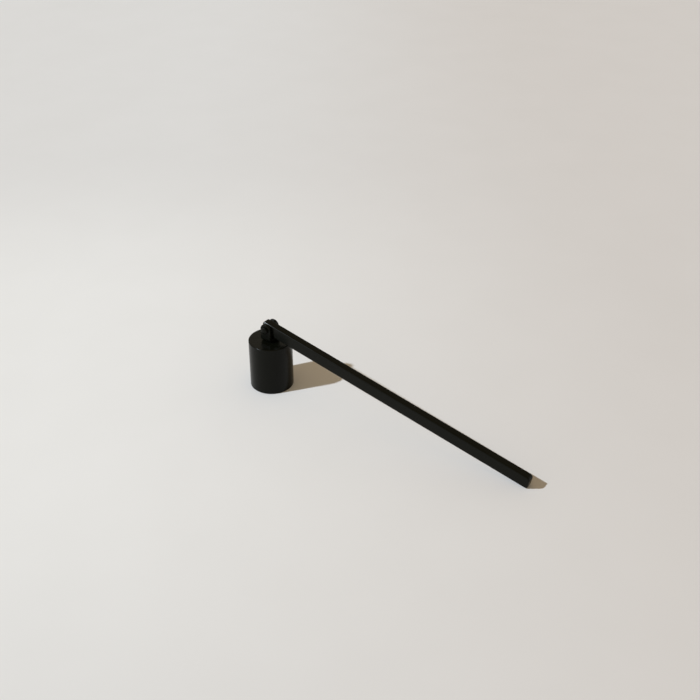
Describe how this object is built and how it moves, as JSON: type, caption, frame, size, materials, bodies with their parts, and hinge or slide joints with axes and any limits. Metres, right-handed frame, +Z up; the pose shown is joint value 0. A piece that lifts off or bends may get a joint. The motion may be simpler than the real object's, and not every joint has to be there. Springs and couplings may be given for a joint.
{
  "type": "candle snuffer",
  "caption": "Candle snuffer: a plain round bell, mouth down, hinged by a riveted fork to the end of a long straight rectangular bar handle, in satin black metal.",
  "frame": {"origin": "centre of the bell's mouth, in the plane of its rim, on the table", "axes": "+X along the handle, +Y along the hinge rivet, +Z up along the bell's axis"},
  "size_m": [0.1824, 0.0254, 0.0422],
  "materials": {
    "black_coat": "satin black coating on steel",
    "black_steel": "blackened steel, lightly oiled"
  },
  "bodies": {
    "bell": {"bell_cup": "black_coat", "yoke_strap": "black_coat", "yoke_screw": "black_steel", "lock_washer": "black_steel", "hinge_rivet": "black_coat"},
    "handle": {"handle_bar": "black_coat"}
  },
  "joints": [
    {"name": "handle_hinge", "type": "hinge", "parent": "bell", "child": "handle", "pos_m": [0, 0, 0.0381], "axis": [0, -1, 0], "range_deg": [-5.5, 208.5]}
  ]
}
